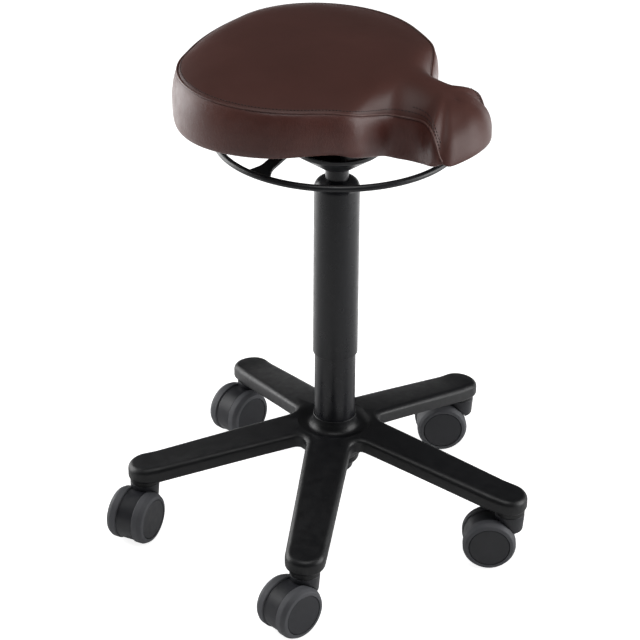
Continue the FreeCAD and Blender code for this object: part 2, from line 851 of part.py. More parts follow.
# Saddle cushion
def grown(corners, margins):
    """Corners of a rounded loop moved outwards, each by its own margin, keeping its roundings parallel."""
    moved = []
    total = len(corners)
    for i in range(total):
        a, b, radius = corners[i]
        before = corners[i - 1]
        after = corners[(i + 1) % total]
        to_before = Vector(before[0] - a, before[1] - b, 0).normalize()
        to_after = Vector(after[0] - a, after[1] - b, 0).normalize()
        half = to_before.getAngle(to_after) / 2
        way = (to_before + to_after).normalize()
        outward = 1 if to_before.cross(to_after).z > 0 else -1
        shift = outward * margins[i] / math.sin(half)
        moved.append((a - way.x * shift, b - way.y * shift, radius + outward * margins[i]))
    return moved


def seat_outline(grow, level, front_grow=None):
    """Plan of the saddle at a height, grown outwards by a margin; waist and nose may take their own."""
    front = grow if front_grow is None else front_grow
    half_corners = [
        (seat_rear_corner_at, seat_half_width, rear_corner_round, grow),
        (seat_side_turn_at, seat_half_width, side_round, grow),
        (seat_front_at, seat_front_half_width, front_round, grow),
        (waist_at, waist_half_width, waist_round, front),
        (nose_corner_at, nose_corner_half_width, nose_corner_round, front),
    ]
    corners = [(0, -seat_rear, rear_round)]
    margins = [grow]
    for u, v, radius, margin in half_corners:
        corners.append((v, -u, radius))
        margins.append(margin)
    corners.append((0, -nose_tip_at, nose_round))
    margins.append(front)
    for u, v, radius, margin in reversed(half_corners):
        corners.append((-v, -u, radius))
        margins.append(margin)
    return rounded_loop(grown(corners, margins), "xy", level)


def side_swell(inset):
    """The cushion's side wall: drawn in at the seam and hem, fuller between."""
    wires = []
    for level, swell, front_swell in swell_levels:
        wires.append(seat_outline(swell - inset, level, front_swell - inset))
    return Part.makeLoft(wires, True, False, False)


swell_levels = [
    # height, how far the side wall stands out there, and the same at the waist and nose
    (505.0, -12.0, -9.0),
    (532.0, -2.0, -1.5),
    (556.0, 5.5, 2.5),
    (576.0, 6.5, 2.0),
    (592.0, 5.0, 0.0),
    (606.0, -0.5, -3.0),
    (616.0, -5.5, -5.0),
    (640.0, -12.0, -9.0),
]
crown_stations = [
    # station u, centre height, half width of the crown, drop at that half width
    (-230, 604.0, 176, 20.0),
    (-165, 619.0, 176, 17.0),
    (-100, 625.5, 176, 15.0),
    (-40, 627.0, 176, 19.5),
    (20, 624.5, 160, 20.0),
    (54, 620.5, 138, 18.0),
    (76, 616.5, 104, 17.5),
    (92, 613.0, 70, 31.5),
    (110, 608.5, 52, 33.0),
    (130, 602.0, 54, 26.0),
    (148, 591.5, 68, 32.0),
    (164, 577.0, 76, 42.0),
    (178, 558.5, 84, 52.0),
    (190, 532.0, 84, 52.0),
    (204, 480.0, 84, 52.0),
]


def crown_slab(lower):
    """Everything under the top panel, as sections across the seat."""
    wing = 200.0
    wing_drop = 24.0
    floor = 380.0
    sections = []
    for u, height, half, drop in crown_stations:
        top = height - lower
        left = Vector(-half, -u, top - drop)
        right = Vector(half, -u, top - drop)
        crest = Part.Arc(left, Vector(0, -u, top), right).toShape()
        left_wing = Vector(-wing, -u, top - drop - wing_drop)
        right_wing = Vector(wing, -u, top - drop - wing_drop)
        left_foot = Vector(-wing, -u, floor)
        right_foot = Vector(wing, -u, floor)
        sections.append(Part.Wire([
            Part.makeLine(left_foot, left_wing),
            Part.makeLine(left_wing, left),
            crest,
            Part.makeLine(right, right_wing),
            Part.makeLine(right_wing, right_foot),
            Part.makeLine(right_foot, left_foot),
        ]))
    return Part.makeLoft(sections, True, True, False)


hem_line = [
    # y, height and corner radius of the hem seen from the side, rear to nose
    (240, 538, 0),
    (150, 549, 60),
    (-65, 558.0, 30),
    (-95, 529.5, 16),
    (-128, 528.5, 30),
    (-160, 543.0, 20),
    (-240, 545.0, 0),
]
hem_reach = 260.0
hem_floor = 400.0


def hem_cut(raise_by):
    """Everything below the hem, which arches up along the sides and drops at the waist."""
    corners = [(hem_line[0][0], hem_floor, 0)]
    for y, height, radius in hem_line:
        corners.append((y, height + raise_by, radius))
    corners.append((hem_line[-1][0], hem_floor, 0))
    face = Part.Face(rounded_loop(corners, "yz", -hem_reach))
    return face.extrude(Vector(2 * hem_reach, 0, 0))


def plan_prism(grow, bottom, top):
    """Prism on the saddle's plan."""
    solid = Part.Face(seat_outline(grow, bottom)).extrude(Vector(0, 0, top - bottom))
    return solid


board_pad_top = 566.0


def plate_pad(grow, bottom, top):
    """Block over the seat plate, grown sideways."""
    corners = []
    for sx, sy in ((-1, -1), (1, -1), (1, 1), (-1, 1)):
        x = sx * (plate_width / 2 + grow)
        y = sy * (plate_length / 2 + grow)
        corners.append((x, y, plate_corner + grow))
    return prism(rounded_loop(corners), bottom, top)


def seat_board():
    """Moulded board that follows the hem, with a flat pad where the plate bolts on."""
    high = 600.0
    shell = plan_prism(-board_inset, hem_floor + 1, high)
    shell = shell.common(hem_cut(board_lift + board_thickness)).cut(hem_cut(board_lift))
    pad = plate_pad(board_pad_margin, plate_bottom + plate_thickness, board_pad_top)
    body = shell.cut(plate_pad(board_pad_margin, board_pad_top, high)).fuse(pad).removeSplitter()
    holes = []
    for x, y in screw_places():
        holes.append(disc(tee_nut_radius + seat_gap, plate_bottom, board_pad_top + 1, x, y))
    return body.cut(Part.makeCompound(holes))


def underside_lining():
    """Thin sheet that closes the cushion between the hem and the board."""
    sheet = plan_prism(-lining_inset, hem_floor + 1, board_pad_top + 30)
    sheet = sheet.common(hem_cut(lining_lift + lining_thickness)).cut(hem_cut(lining_lift))
    return sheet.cut(plate_pad(board_pad_margin + foam_gap, plate_bottom - 5, board_pad_top))


def cushion_solids():
    """Leather top panel, leather side band and the foam inside them."""
    skin = leather_thickness
    under = skin + foam_gap
    outer = side_swell(0.0)
    top_of_outer = crown_slab(0.0)
    under_panel = crown_slab(skin)
    whole = outer.common(top_of_outer).cut(hem_cut(0.0))
    panel = whole.cut(under_panel)
    lowered = whole.common(under_panel)
    band = lowered.cut(side_swell(skin))
    foam = side_swell(under).common(crown_slab(under))
    foam = foam.cut(hem_cut(lining_lift + lining_thickness + foam_gap))
    over_board = plan_prism(foam_gap - board_inset, hem_floor + 1, hem_floor + 200)
    over_board = over_board.common(hem_cut(board_lift + board_thickness + foam_gap))
    over_pad = plate_pad(board_pad_margin + foam_gap, plate_bottom - 5,
                         board_pad_top + tee_flange_thickness + foam_gap)
    foam = foam.cut(over_board).cut(over_pad)
    return panel, band, foam


def main():
    save("five_star_base", five_star_base())
    sides = {"left": 1, "right": -1}
    grips = []
    core = wheel_core()
    tread = wheel_tread()
    for i in range(arm_count):
        name = "castor" + str(i + 1)
        save(name + "_stem", place_castor(castor_stem(), i))
        save(name + "_housing", place_castor(castor_housing(), i))
        save(name + "_axle", place_castor(castor_axle(), i))
        grips.append(place_castor(grip_ring(), i))
        for side in sides:
            for kind, shape in (("wheel", core), ("tread", tread)):
                piece = shape
                if sides[side] < 0:
                    piece = shape.mirror(CENTRE, Vector(0, 1, 0))
                save(name + "_" + kind + "_" + side, place_castor(piece, i))
    save("grip_rings", Part.makeCompound(grips))
    save("stand_tube", stand_tube())
    save("thrust_bearing", thrust_bearing())
    save("upper_race", upper_race())
    save("piston_rod", piston_rod())
    save("piston", piston())
    save("rod_buffer", rod_buffer())
    washer, clip = retaining_clip()
    save("retaining_clip", Part.makeCompound([washer, clip]))
    save("guide_bush", guide_bush())
    save("lift_cylinder", lift_cylinder())
    save("rod_guide", rod_guide())
    save("release_pin", release_pin())
    save("column_cover", column_cover())
    save("mechanism_housing", mechanism_housing())
    save("seat_plate", seat_plate())
    save("seat_screws", seat_screws())
    save("tee_nuts", tee_nuts())
    save("ring_lever", ring_lever())
    save("seat_board", seat_board())
    save("underside_lining", underside_lining())
    panel, band, foam = cushion_solids()
    save("leather_top_panel", panel)
    save("leather_side_band", band)
    save("foam_cushion", foam)


main()
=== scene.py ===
import json
import math

import bmesh
import bpy
import numpy as np
from mathutils import Matrix, Vector


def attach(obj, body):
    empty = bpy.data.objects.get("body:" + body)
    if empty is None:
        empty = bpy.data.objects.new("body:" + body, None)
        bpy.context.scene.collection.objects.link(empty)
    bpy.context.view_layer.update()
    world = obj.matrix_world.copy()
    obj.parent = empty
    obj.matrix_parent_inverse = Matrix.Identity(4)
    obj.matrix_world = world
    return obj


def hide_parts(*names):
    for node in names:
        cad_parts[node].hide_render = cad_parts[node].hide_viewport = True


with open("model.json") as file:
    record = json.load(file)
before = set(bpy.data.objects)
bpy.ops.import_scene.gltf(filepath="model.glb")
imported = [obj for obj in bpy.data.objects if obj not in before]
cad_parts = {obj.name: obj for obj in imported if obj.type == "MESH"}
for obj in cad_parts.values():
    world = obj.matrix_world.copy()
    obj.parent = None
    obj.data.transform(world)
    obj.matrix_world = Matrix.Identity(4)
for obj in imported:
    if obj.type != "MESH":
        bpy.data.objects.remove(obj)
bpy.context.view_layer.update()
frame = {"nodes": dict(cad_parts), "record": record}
NODES = frame["nodes"]

# Saddle stool in metres, in the frame's own axes: nose towards -Y, column on the Z axis.
# The leather saddle is made here and the base's arms are reshaped; all other pieces are the frame's own.
# The saddle's sizes are in millimetres until its points go to the frame.
MM = 0.001

# Plan of the saddle: corners of half the outline as (forward, across, rounding radius)
REAR_CORNER = (-173.5, 0.0, 300.0)
HALF_CORNERS = [
    (-146.0, 168.3, 115.0),
    (-3.0, 168.3, 126.0),
    (71.0, 112.0, 47.0),
    (102.0, 26.6, 30.0),
    (161.5, 76.0, 15.0),
]
NOSE_CORNER = (192.5, 0.0, 90.0)
PLAN_SPACING = 2.8           # between points along the outline
HEIGHT_ROUNDS = 3            # rounds of averaging round the outline, for heights and for the nose's share
NOSE_ROUNDS = 4

# Heights along the saddle, as (forward, height)
SEAM_HEIGHTS = [
    (-190, 613.5), (-120, 612.8), (-80, 611.8), (-24, 610.4), (25, 608.2), (50, 606.2), (62, 604.0),
    (70, 601.5), (78, 596.0), (86, 589.8), (94, 585.4), (102, 582.8), (117, 581.6), (132, 582.0), (138, 581.6),
    (146, 578.6), (150, 573.8), (153, 566.5), (155.5, 556.0), (157.5, 545.5), (160, 543.0), (195, 543.0),
]
HEM_HEIGHTS = [
    (-190, 545.0), (-150, 549.0), (-100, 551.2), (0, 555.4), (45, 557.3), (60, 556.0), (70, 551.0),
    (80, 544.2), (90, 537.2), (98, 532.4), (108, 530.6), (128, 530.8), (140, 534.2), (150, 538.2),
    (160, 542.4), (195, 543.2),
]
CREST_HEIGHTS = [
    (-190, 628.0), (-140, 629.0), (-100, 629.5), (-70, 629.2), (-40, 628.6), (20, 625.4), (54, 621.0),
    (76, 617.0), (92, 613.2), (110, 608.2), (130, 600.6), (150, 588.5), (170, 572.5), (195, 554.0),
]

# The crown runs in to a spine on the middle line, whose ends are gathered
SPINE_REAR = -70.0
SPINE_FRONT = 128.0
SPINE_GATHER = 0.3
CROWN_POWER = 2.25           # how soon the crown reaches its height
CROWN_POWER_REAR = 1.1       # added to it at the rear
NOSE_POWER = 2.2
NOSE_ROUNDING = 0.5          # share of a rounder rise where the panel wraps down over the nose
NOSE_BULGE = 2.0
NOSE_BULGE_REACH = 22.0
SEAM_DIP = 1.7               # the top panel drawn down beside the seam
SEAM_DIP_REACH = 2.6
SEAM_TUCK = 1.3              # the side band drawn in below the seam
SEAM_TUCK_REACH = 0.044      # as a share of the band

# The side band swells out, less at the waist and fully only where it is tall
SIDE_SWELL = 7.0
WAIST_SWELL = 3.2
FULL_BAND = 16.0
BAND_PROFILE = [             # share of the way down, share of the swell
    (0, 0), (0.04, 0.2), (0.12, 0.5), (0.25, 0.78), (0.5, 1.0), (0.8, 0.93), (0.93, 0.76), (1.0, 0.5),
]
WAIST_FORWARD = 84.0
WAIST_BLEND = 7.0
REAR_BACK = 60.0
REAR_BLEND = 20.0

# Leather turned under the hem, which reaches less far at the waist
HEM_ROLL = 14.0
SIDE_ROLL_LIMIT = 16.0
WAIST_ROLL_LIMIT = 9.0

# Seam and stitches
SEAM_RIDGE_RADIUS = 1.15
SEAM_RIDGE_LIFT = 0.9
SEAM_RIDGE_STAND = 0.3       # outwards of the seam
SEAM_LEAST_BAND = 1.0        # the seam's ridge runs where the band is taller than this
STITCH_LEAST_BAND = 4.0      # and the stitches where it is taller than this
STITCH_INSET = 4.2
STITCH_LENGTH = 2.9
STITCH_PITCH = 3.9
STITCH_RADIUS = 0.5
STITCH_LIFT = 0.2
FLAP_FROM = 112.0            # second rows of stitches run beside the flap, forward of here

# Distances in metres within which points are joined, and the angle from which the frame's edges stay sharp
MERGE = 0.00001
FRAME_MERGE = 0.000004
SHARP_EDGE = math.radians(32.0)


def line_through(table, at):
    """Smooth heights through a table of (place, height)."""
    places = np.array([row[0] for row in table], float)
    heights = np.array([row[1] for row in table], float)
    slopes = np.gradient(heights, places)
    k = np.clip(np.searchsorted(places, at) - 1, 0, len(places) - 2)
    step = places[k + 1] - places[k]
    t = np.clip((at - places[k]) / step, 0, 1)
    rise = heights[k] * (2 * t**3 - 3 * t**2 + 1) + heights[k + 1] * (3 * t**2 - 2 * t**3)
    return rise + step * (slopes[k] * (t**3 - 2 * t**2 + t) + slopes[k + 1] * (t**3 - t**2))


def saddle_plan():
    """Points round the saddle's outline as (across, forward), from the middle of the rear.

    They are evenly spaced and alike on both sides.
    """
    middle_out = [REAR_CORNER] + HALF_CORNERS + [NOSE_CORNER]
    other_side = [(forward, -across, radius) for forward, across, radius in HALF_CORNERS]
    corners = other_side[:1] + middle_out + other_side[-1:]
    flat = [Vector((across, forward)) for forward, across, radius in corners]
    points = []
    for i in range(1, len(flat) - 1):
        radius = corners[i][2]
        to_before = (flat[i - 1] - flat[i]).normalized()
        to_after = (flat[i + 1] - flat[i]).normalized()
        opening = to_before.angle(to_after) / 2
        run = radius / math.tan(opening)
        centre = flat[i] + (to_before + to_after).normalized() * radius / math.sin(opening)
        first = flat[i] + to_before * run - centre
        last = flat[i] + to_after * run - centre
        start = math.atan2(first.y, first.x)
        sweep = (math.atan2(last.y, last.x) - start + math.pi) % (2 * math.pi) - math.pi
        if i == 1:
            start += sweep / 2
        if i in (1, len(flat) - 2):
            sweep /= 2
        steps = max(3, round(abs(sweep) * radius / PLAN_SPACING))
        for k in range(steps + 1):
            angle = start + sweep * k / steps
            points.append((centre.x + radius * math.cos(angle), centre.y + radius * math.sin(angle)))
    points = np.array(points)
    run = np.concatenate([[0], np.cumsum(np.linalg.norm(np.diff(points, axis=0), axis=1))])
    at = np.linspace(0, run[-1], round(run[-1] / PLAN_SPACING) + 1)
    side = np.column_stack([np.interp(at, run, points[:, 0]), np.interp(at, run, points[:, 1])])
    return np.vstack([side, side[-2:0:-1] * (-1, 1)])


def outward_of(loop):
    """Outward unit normals of a clockwise loop."""
    ahead = np.roll(loop, -1, axis=0) - np.roll(loop, 1, axis=0)
    ahead = ahead / np.linalg.norm(ahead, axis=1)[:, None]
    normal = np.stack([-ahead[:, 1], ahead[:, 0]], axis=1)
    if ((loop - loop.mean(axis=0)) * normal).sum() < 0:
        normal = -normal
    return normal


def softened(values, rounds):
    """Values round a loop, averaged over their neighbours."""
    for _ in range(rounds):
        values = (np.roll(values, 1, axis=0) + 2 * values + np.roll(values, -1, axis=0)) / 4
    return values


def blend(values, middle, width):
    """Runs smoothly from 0 to 1 as the values pass the middle."""
    return 1 / (1 + np.exp(-(values - middle) / width))


PLAN = saddle_plan()
OUTWARD = outward_of(PLAN)
FORWARD = PLAN[:, 1]
SEAM = softened(line_through(SEAM_HEIGHTS, FORWARD), HEIGHT_ROUNDS)
HEM = np.minimum(softened(line_through(HEM_HEIGHTS, FORWARD), HEIGHT_ROUNDS), SEAM)
BAND = SEAM - HEM
BAND_SHARE = np.clip(BAND / FULL_BAND, 0, 1)
AT_WAIST = blend(FORWARD, WAIST_FORWARD, WAIST_BLEND)
AT_REAR = blend(-FORWARD, REAR_BACK, REAR_BLEND)
SWELL = BAND_SHARE * (SIDE_SWELL + (WAIST_SWELL - SIDE_SWELL) * AT_WAIST)
NOSE_SHARE = softened(1 - BAND_SHARE, NOSE_ROUNDS)


def spine_of(forward):
    """Where on the middle line each outline point's crown runs to."""
    gathered = np.where(forward < SPINE_REAR, SPINE_REAR + (forward - SPINE_REAR) * SPINE_GATHER, forward)
    return np.where(gathered > SPINE_FRONT, SPINE_FRONT + (gathered - SPINE_FRONT) * SPINE_GATHER, gathered)


SPINE = spine_of(FORWARD)
SPINE_HEIGHT = line_through(CREST_HEIGHTS, SPINE)
SPINE_POINTS = np.column_stack([np.zeros_like(SPINE), SPINE])


def crown_ring(inset, share=0.0):
    """One ring of the top panel: inset from the seam in millimetres, then a share of the way to the spine."""
    reach = np.linalg.norm(PLAN - SPINE_POINTS, axis=1)
    way = inset + (reach - inset) * share
    k = np.clip(way / reach, 0, 1)
    rise = 1 - (1 - k) ** (CROWN_POWER + CROWN_POWER_REAR * AT_REAR)
    round_rise = np.sqrt(np.clip(1 - (1 - k) ** NOSE_POWER, 0, 1))
    rounding = NOSE_SHARE * NOSE_ROUNDING
    rise = rise * (1 - rounding) + round_rise * rounding
    dip = SEAM_DIP * np.exp(-(way / SEAM_DIP_REACH) ** 2) * (1 - NOSE_SHARE)
    bulge = NOSE_BULGE * NOSE_SHARE * np.sin(np.pi * np.clip(way / NOSE_BULGE_REACH, 0, 1))
    place = PLAN + (SPINE_POINTS - PLAN) * k[:, None] + OUTWARD * bulge[:, None]
    return np.column_stack([place, SEAM + (SPINE_HEIGHT - SEAM) * rise - dip])


def band_ring(share):
    """One ring of the side band, from the seam (0) to the hem (1)."""
    profile = np.interp(share, *zip(*BAND_PROFILE))
    tuck = SEAM_TUCK * math.exp(-(share / SEAM_TUCK_REACH) ** 2) * BAND_SHARE
    place = PLAN + OUTWARD * (SWELL * profile - tuck)[:, None]
    return np.column_stack([place, SEAM - BAND * share])


def under_ring(inset, lift):
    """One ring of the leather turned under the hem."""
    deepest = WAIST_ROLL_LIMIT + (SIDE_ROLL_LIMIT - WAIST_ROLL_LIMIT) * (1 - AT_WAIST)
    place = band_ring(1.0)[:, :2] - OUTWARD * np.minimum(inset, deepest)[:, None]
    return np.column_stack([place, HEM + lift])


def closing_ring(share, lift):
    """One ring across the seat's underside, from the turned leather (0) to the spine (1)."""
    start = under_ring(HEM_ROLL, lift)
    end = np.column_stack([SPINE_POINTS, line_through(HEM_HEIGHTS, SPINE) + lift])
    return start + (end - start) * share


def to_row(ring):
    """Saddle points (across, forward, height) in millimetres as points of the frame in metres."""
    return np.column_stack([ring[:, 0], -ring[:, 1], ring[:, 2]]) * MM


def add_object(name, data):
    """Puts an object with this data in the scene."""
    obj = bpy.data.objects.new(name, data)
    bpy.context.scene.collection.objects.link(obj)
    return obj


def skin_rings(name, rings):
    """Quad mesh through closed rings of equal length."""
    count = len(rings[0])
    faces = []
    for first in range(0, (len(rings) - 1) * count, count):
        for i in range(count):
            j = (i + 1) % count
            faces.append((first + i, first + j, first + count + j, first + count + i))
    mesh = bpy.data.meshes.new(name)
    mesh.from_pydata(np.vstack([to_row(ring) for ring in rings]).tolist(), [], faces)
    mesh.update()
    return add_object(name, mesh)


def tidy_mesh(obj, merge):
    """Joins doubled points, turns the faces outwards and shades them smooth."""
    work = bmesh.new()
    work.from_mesh(obj.data)
    bmesh.ops.remove_doubles(work, verts=work.verts, dist=merge)
    bmesh.ops.dissolve_degenerate(work, dist=merge, edges=work.edges)
    bmesh.ops.recalc_face_normals(work, faces=work.faces)
    for face in work.faces:
        face.smooth = True
    work.to_mesh(obj.data)
    work.free()
    obj.data.update()


def finished(obj):
    """The object with its modifiers worked into a mesh of its own."""
    depsgraph = bpy.context.evaluated_depsgraph_get()
    mesh = bpy.data.meshes.new_from_object(obj.evaluated_get(depsgraph))
    obj.modifiers.clear()
    old = obj.data
    obj.data = mesh
    bpy.data.meshes.remove(old)
    mesh.name = obj.name
    return obj


# Materials
def colour(red, green, blue):
    """A colour given as it looks on a screen, 0 to 255, as the shader wants it."""
    def linear(value):
        value /= 255
        return value / 12.92 if value <= 0.04045 else ((value + 0.055) / 1.055) ** 2.4
    return (linear(red), linear(green), linear(blue), 1.0)


class Finish:
    """A material with one shader, built up a layer at a time on Object coordinates."""

    def __init__(self, name):
        self.material = bpy.data.materials.new(name)
        self.material.use_nodes = True
        self.tree = self.material.node_tree
        self.shader = self.tree.nodes["Principled BSDF"]
        self.place = self.tree.nodes.new("ShaderNodeTexCoord").outputs["Object"]
        self.height = None

    def set(self, **values):
        for name, value in values.items():
            self.shader.inputs[name.replace("_", " ")].default_value = value
        return self

    def node(self, kind, links=None, **settings):
        made = self.tree.nodes.new(kind)
        for key, value in settings.items():
            if key in made.inputs:
                made.inputs[key].default_value = value
            else:
                setattr(made, key, value)
        for key, source in (links or {}).items():
            self.tree.links.new(source, made.inputs[key])
        return made

    def noise(self, scale, detail, rough=0.55, stretch=(1, 1, 1)):
        mapping = self.node("ShaderNodeMapping", {"Vector": self.place}, Scale=stretch)
        made = self.node("ShaderNodeTexNoise", {"Vector": mapping.outputs["Vector"]},
                         Scale=scale, Detail=detail, Roughness=rough)
        return made.outputs["Fac"]

    def cells(self, scale, warp):
        """Distance to the edge of pebble-like cells, their places shifted by up to warp metres."""
        drift = self.node("ShaderNodeTexNoise", {"Vector": self.place}, Scale=scale * 0.45, Detail=2.0)
        shift = self.node("ShaderNodeVectorMath", operation="MULTIPLY_ADD")
        self.tree.links.new(drift.outputs["Color"], shift.inputs[0])
        shift.inputs[1].default_value = (warp, warp, warp)
        self.tree.links.new(self.place, shift.inputs[2])
        made = self.node("ShaderNodeTexVoronoi", {"Vector": shift.outputs["Vector"]},
                         Scale=scale, feature="DISTANCE_TO_EDGE")
        return made.outputs["Distance"]

    def ramp(self, source, stops):
        made = self.node("ShaderNodeValToRGB", {"Fac": source})
        elements = made.color_ramp.elements
        while len(elements) < len(stops):
            elements.new(0.5)
        for element, (at, shade) in zip(elements, stops):
            element.position = at
            element.color = shade
        return made.outputs["Color"]

    def grey(self, source, low, high, start, end):
        """A number that runs from low to high as the source runs from start to end."""
        made = self.node("ShaderNodeMapRange", {"Value": source})
        for key, value in (("From Min", start), ("From Max", end), ("To Min", low), ("To Max", high)):
            made.inputs[key].default_value = value
        return made.outputs["Result"]

    def paint(self, source, stops):
        self.tree.links.new(self.ramp(source, stops), self.shader.inputs["Base Color"])
        return self

    def gloss(self, source, low, high):
        """Roughness from low to high over a noise's usual values."""
        self.tree.links.new(self.grey(source, low, high, 0.3, 0.7), self.shader.inputs["Roughness"])
        return self

    def relief(self, source, depth, strength):
        """One layer of bump, over the layers before it."""
        made = self.node("ShaderNodeBump", {"Height": source}, Strength=strength, Distance=depth)
        if self.height is not None:
            self.tree.links.new(self.height, made.inputs["Normal"])
        self.height = made.outputs["Normal"]
        self.tree.links.new(self.height, self.shader.inputs["Normal"])
        return self


def smooth_leather():
    """Top panel: fine, tight grain with soft cloudy colour."""
    leather = Finish("smooth saddle leather")
    leather.set(Specular_IOR_Level=0.36)
    cloud = leather.noise(7.0, 4.0, 0.6)
    leather.paint(cloud, [(0.3, colour(78, 47, 41)), (0.55, colour(84, 51, 45)), (0.75, colour(90, 56, 50))])
    leather.gloss(leather.noise(24.0, 3.0), 0.43, 0.5)
    leather.relief(leather.noise(26.0, 3.0, 0.5), 0.0006, 0.2)
    leather.relief(leather.cells(1250.0, warp=0.0006), 0.00016, 0.35)
    return leather.material


def grained_leather():
    """Side band: redder, with an open pebbled grain that catches the light."""
    leather = Finish("grained band leather")
    leather.set(Specular_IOR_Level=0.5)
    cloud = leather.noise(14.0, 5.0, 0.62)
    leather.paint(cloud, [(0.3, colour(80, 46, 41)), (0.5, colour(92, 54, 48)), (0.72, colour(102, 63, 56))])
    leather.gloss(leather.noise(60.0, 3.0), 0.3, 0.46)
    leather.relief(leather.noise(420.0, 3.0, 0.6, (1, 1, 0.45)), 0.0006, 0.4)
    leather.relief(leather.cells(620.0, warp=0.0012), 0.0003, 0.55)
    return leather.material


def seam_leather_painted_highlight():
    """Folded edge of the seam, coloured lighter than the leather along the whole ridge: a painted highlight
    where the ridge catches the light.
    """
    leather = Finish("folded seam leather, painted highlight")
    leather.set(Roughness=0.4)
    # painted highlight: the ridge's colour is lighter than the top and band leather all along
    leather.paint(leather.noise(30.0, 3.0), [(0.35, colour(92, 62, 57)), (0.7, colour(108, 76, 69))])
    leather.relief(leather.noise(700.0, 2.0), 0.0002, 0.4)
    return leather.material


def sewing_thread():
    """Dark waxed thread."""
    thread = Finish("sewing thread")
    thread.set(Roughness=0.55)
    thread.paint(thread.noise(900.0, 2.0), [(0.4, colour(40, 27, 25)), (0.6, colour(58, 40, 37))])
    return thread.material


def powder_coat(name, dark, light, rough):
    """Fine-textured satin black coating on metal."""
    coat = Finish(name)
    coat.set(Roughness=rough, Specular_IOR_Level=0.5)
    coat.paint(coat.noise(6.0, 3.0), [(0.35, dark), (0.7, light)])
    coat.gloss(coat.noise(90.0, 3.0), rough - 0.05, rough + 0.07)
    coat.relief(coat.noise(1400.0, 2.0, 0.5), 0.00008, 0.35)
    return coat.material


def moulded_plastic(name, dark, light, rough):
    """Moulded plastic with a fine spark-eroded texture."""
    plastic = Finish(name)
    plastic.set(Roughness=rough)
    plastic.paint(plastic.noise(16.0, 3.0), [(0.35, dark), (0.7, light)])
    plastic.gloss(plastic.noise(120.0, 3.0), rough - 0.06, rough + 0.08)
    plastic.relief(plastic.noise(1900.0, 2.0, 0.5), 0.00006, 0.4)
    return plastic.material


def bare_steel():
    """Turned steel with faint rings."""
    steel = Finish("turned steel")
    steel.set(Metallic=1.0, Roughness=0.28)
    steel.paint(steel.noise(20.0, 2.0), [(0.3, colour(150, 150, 154)), (0.7, colour(188, 188, 192))])
    steel.gloss(steel.noise(900.0, 2.0, 0.5, (1, 1, 6)), 0.2, 0.36)
    return steel.material


FINISHES = {
    "leather_top": smooth_leather(),
    "leather_side": grained_leather(),
    # the seam's leather carries a painted highlight, lighter than the panels beside it
    "seam": seam_leather_painted_highlight(),
    "thread": sewing_thread(),
    "base_paint": powder_coat("black base coat", colour(8, 9, 12), colour(12, 13, 17), 0.42),
    "column_paint": powder_coat("black column coat", colour(18, 19, 24), colour(23, 24, 29), 0.3),
    "mechanism_paint": powder_coat("black lever coat", colour(24, 25, 28), colour(30, 31, 34), 0.34),
    "plate_steel": powder_coat("dark plate coat", colour(38, 39, 42), colour(46, 47, 50), 0.5),
    "bare_steel": bare_steel(),
    "bush_plastic": moulded_plastic("black bush plastic", colour(34, 35, 38), colour(42, 43, 46), 0.5),
    "castor_plastic": moulded_plastic("dark castor plastic", colour(34, 35, 39), colour(42, 43, 48), 0.4),
    "castor_tread": moulded_plastic("grey castor tread", colour(74, 75, 79), colour(84, 85, 89), 0.58),
    "lining": moulded_plastic("black underside cover", colour(22, 22, 24), colour(30, 30, 32), 0.6),
    "board": moulded_plastic("seat board", colour(120, 92, 64), colour(142, 110, 76), 0.65),
}


# The frame's own pieces: material by slot, and smooth shading over their triangles
def smooth_shading(obj):
    """Welds and shades a frame piece smooth, with sharp edges kept."""
    for polygon in obj.data.polygons:
        polygon.use_smooth = True
    weld = obj.modifiers.new("weld", "WELD")
    weld.merge_threshold = FRAME_MERGE
    split = obj.modifiers.new("sharp edges", "EDGE_SPLIT")
    split.split_angle = SHARP_EDGE


SLOT_OF = {row["node"]: row["material_slot"] for row in frame["record"]["subparts"]}
for node, obj in NODES.items():
    if SLOT_OF[node] not in FINISHES:
        continue             # the foam, which the cushion stands for
    finish = FINISHES[SLOT_OF[node]]
    if obj.data.materials:
        for index in range(len(obj.data.materials)):
            obj.data.materials[index] = finish
    else:
        obj.data.materials.append(finish)
    smooth_shading(obj)


# The base, its arms as steep and as slim as in the photograph
ARM_REACH = 0.258
ARM_TIP_TOP = 0.094
ARM_TIP_UNDER = 0.075
TOP_SLOPE = math.radians(7.5)
UNDER_SLOPE = math.radians(4.4)
LIFT_FROM = 0.222            # from here out, where the castor sockets are, the arms stay as they are
ARM_ROOT = 0.050
ROOT_LIFT_TOP = 0.014
ROOT_LIFT_UNDER = 0.026
COLLAR_RADIUS = 0.0266       # the hub's walls inside these stay as they are, above and below the arms
BOSS_RADIUS = 0.0312


def arm_lift(radius, inner, at_root):
    """Lift of the base: it grows from the arms' ends to their root, and is nothing at the inner wall."""
    along = at_root * np.clip((LIFT_FROM - radius) / (LIFT_FROM - ARM_ROOT), 0, 1)
    near = np.clip((radius - inner) / (ARM_ROOT - inner), 0, 1)
    return along * near * near * (3 - 2 * near)


